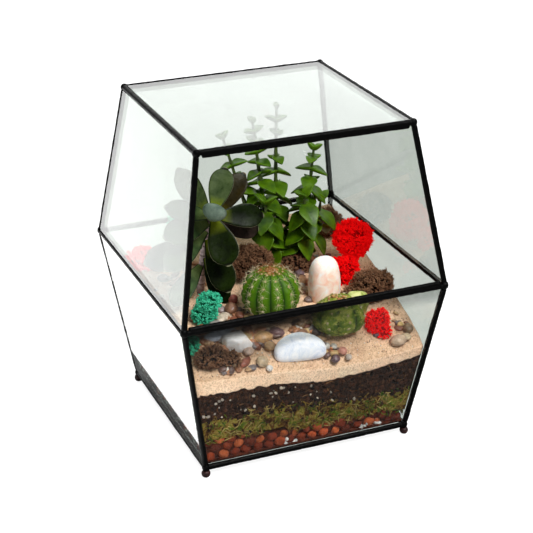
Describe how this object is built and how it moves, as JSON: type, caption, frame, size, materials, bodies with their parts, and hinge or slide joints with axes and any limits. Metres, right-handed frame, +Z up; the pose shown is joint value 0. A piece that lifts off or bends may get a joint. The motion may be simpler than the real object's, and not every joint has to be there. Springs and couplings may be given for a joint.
{
  "type": "glass plant terrarium",
  "caption": "Soldered faceted glass terrarium, open at its upper front, planted with succulents and cacti in layered sand, soil, moss and clay.",
  "frame": {"origin": "middle of the footprint, on the surface that the feet stand on", "axes": "+Z up; -Y is the front, where the upper facet is open; +X to the right seen from the front"},
  "size_m": [0.2046, 0.2046, 0.2519],
  "materials": {
    "seam": "black patina on solder, satin",
    "foot": "dark red-brown solder, satin",
    "glass": "clear, polished",
    "clay": "fired clay balls, matt",
    "dry_moss": "dried sphagnum, fibrous",
    "soil": "potting soil with perlite, matt",
    "sand": "fine sand, matt",
    "white_bean_stone": "tumbled, smooth",
    "marble_chunk": "broken marble, crystalline",
    "quartz_pillar": "polished rose quartz",
    "pebble": "river-worn, smooth",
    "red_moss": "dyed reindeer moss",
    "teal_moss": "dyed reindeer moss",
    "brown_moss": "dyed reindeer moss",
    "cactus": "waxy green skin with woolly spine cushions",
    "crassula": "waxy bright green leaves",
    "echeveria_leaf": "waxy dark green leaves with a brown edge",
    "echeveria_stem": "pale pink-brown bare stem"
  },
  "bodies": {
    "root": {"base_pane": "glass", "base_rim": "seam", "brown_moss_back": "brown_moss", "brown_moss_front_left": "brown_moss", "brown_moss_middle": "brown_moss", "brown_moss_right": "brown_moss", "clay_drainage": "clay", "crassula": "crassula", "echeveria_leaf_centre": "echeveria_leaf", "echeveria_leaf_left": "echeveria_leaf", "echeveria_leaf_left_hanging": "echeveria_leaf", "echeveria_leaf_left_low": "echeveria_leaf", "echeveria_leaf_left_outer": "echeveria_leaf", "echeveria_leaf_left_under": "echeveria_leaf", "echeveria_leaf_lower_middle": "echeveria_leaf", "echeveria_leaf_lower_second": "echeveria_leaf", "echeveria_leaf_lowest": "echeveria_leaf", "echeveria_leaf_right": "echeveria_leaf", "echeveria_leaf_right_under": "echeveria_leaf", "echeveria_leaf_upper": "echeveria_leaf", "echeveria_leaf_upper_left": "echeveria_leaf", "echeveria_leaf_upper_right": "echeveria_leaf", "echeveria_stem": "echeveria_stem", "foot_back_left": "foot", "foot_back_right": "foot", "foot_front_left": "foot", "foot_front_right": "foot", "girdle": "seam", "globe_cactus": "cactus", "lower_back_pane": "glass", "lower_front_pane": "glass", "lower_left_pane": "glass", "lower_right_pane": "glass", "lower_seam_back_left": "seam", "lower_seam_back_right": "seam", "lower_seam_front_left": "seam", "lower_seam_front_right": "seam", "marble_chunk": "marble_chunk", "moss_filter": "dry_moss", "pebble_grey": "pebble", "pebble_tan": "pebble", "quartz_pillar": "quartz_pillar", "red_moss_back_left": "red_moss", "red_moss_front": "red_moss", "red_moss_right": "red_moss", "sand": "sand", "small_cactus": "cactus", "soil": "soil", "teal_moss_back": "teal_moss", "teal_moss_left": "teal_moss", "top_pane": "glass", "top_rim": "seam", "upper_back_pane": "glass", "upper_left_pane": "glass", "upper_right_pane": "glass", "upper_seam_back_left": "seam", "upper_seam_back_right": "seam", "upper_seam_front_left": "seam", "upper_seam_front_right": "seam", "white_bean_stone": "white_bean_stone"}
  },
  "joints": []
}
